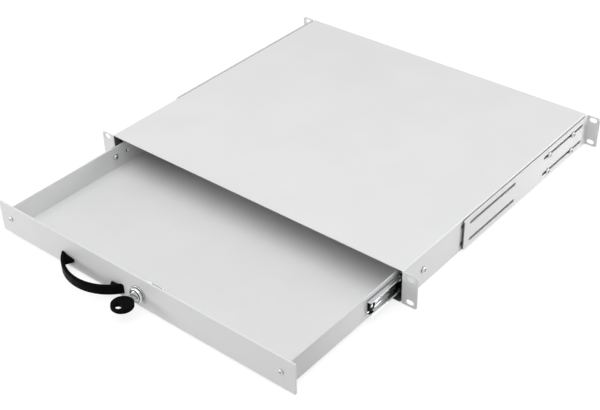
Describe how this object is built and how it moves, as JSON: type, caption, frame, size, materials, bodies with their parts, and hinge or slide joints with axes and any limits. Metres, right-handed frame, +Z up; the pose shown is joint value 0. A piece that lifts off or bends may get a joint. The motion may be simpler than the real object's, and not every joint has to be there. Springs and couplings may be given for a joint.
{
  "type": "rack drawer",
  "caption": "One-unit rack-mount steel drawer on ball-bearing slides, with rack ears, adjustable rear brackets, a cam lock with key and a bow handle.",
  "frame": {"origin": "centre of the four front rack holes, on the rear faces of the front ears, which lie against the rack's rails", "axes": "+X to the right seen from the front, +Y to the back of the rack, +Z up; the drawer pulls out along -Y"},
  "size_m": [0.4826, 0.6192, 0.0436],
  "materials": {
    "painted_steel": "light grey powder coat, satin, fine grain",
    "rail_steel": "bright zinc plate, roll-formed",
    "zinc": "bright zinc plate",
    "ball_steel": "polished",
    "lock_chrome": "polished chrome plate",
    "nickel": "satin nickel plate",
    "black_plastic": "black moulded, semi-matt"
  },
  "bodies": {
    "housing": {"housing_shell": "painted_steel", "base_pan": "painted_steel", "rear_screws": "zinc", "lock_strike": "painted_steel", "left_cabinet_rail": "rail_steel", "right_cabinet_rail": "rail_steel", "left_cabinet_rail_screws": "zinc", "right_cabinet_rail_screws": "zinc", "left_bracket_bolts": "zinc", "right_bracket_bolts": "zinc", "left_bracket_nuts": "zinc", "right_bracket_nuts": "zinc", "left_bracket_spacers": "zinc", "right_bracket_spacers": "zinc"},
    "left_bracket": {"left_rear_bracket": "painted_steel"},
    "right_bracket": {"right_rear_bracket": "painted_steel"},
    "left_cage": {"left_ball_cage": "rail_steel", "left_balls": "ball_steel"},
    "right_cage": {"right_ball_cage": "rail_steel", "right_balls": "ball_steel"},
    "drawer": {"tray": "painted_steel", "front_panel": "painted_steel", "panel_screws": "zinc", "panel_nuts": "zinc", "left_drawer_rail": "rail_steel", "right_drawer_rail": "rail_steel", "left_drawer_rail_screws": "zinc", "right_drawer_rail_screws": "zinc", "left_rail_bumper": "black_plastic", "right_rail_bumper": "black_plastic", "left_bumper_rivet": "zinc", "right_bumper_rivet": "zinc", "handle": "black_plastic", "handle_screws": "zinc", "lock_housing": "lock_chrome", "lock_nut": "zinc"},
    "plug": {"lock_plug": "lock_chrome", "lock_cam": "zinc", "cam_screw": "zinc"},
    "key": {"key_blade": "nickel", "key_head": "black_plastic"}
  },
  "joints": [
    {"name": "drawer_slide", "type": "slide", "parent": "housing", "child": "drawer", "axis": [0, -1, 0], "range_m": [-0.1765, 0.0835]},
    {"name": "left_cage_slide", "type": "slide", "parent": "housing", "child": "left_cage", "axis": [0, -1, 0], "range_m": [-0.0883, 0.0418]},
    {"name": "right_cage_slide", "type": "slide", "parent": "housing", "child": "right_cage", "axis": [0, -1, 0], "range_m": [-0.0883, 0.0418]},
    {"name": "left_bracket_slide", "type": "slide", "parent": "housing", "child": "left_bracket", "axis": [0, 1, 0], "range_m": [-0.025, 0.01]},
    {"name": "right_bracket_slide", "type": "slide", "parent": "housing", "child": "right_bracket", "axis": [0, 1, 0], "range_m": [-0.025, 0.01]},
    {"name": "lock_turn", "type": "hinge", "parent": "drawer", "child": "plug", "pos_m": [0.005, -0.18, -0.0027], "axis": [0, -1, 0], "range_deg": [0, 90]},
    {"name": "key_pull", "type": "slide", "parent": "plug", "child": "key", "axis": [0, -1, 0], "range_m": [0, 0.03]}
  ],
  "couplings": [
    {"joint": "left_cage_slide", "follows": "drawer_slide", "ratio": 0.5},
    {"joint": "right_cage_slide", "follows": "drawer_slide", "ratio": 0.5}
  ]
}
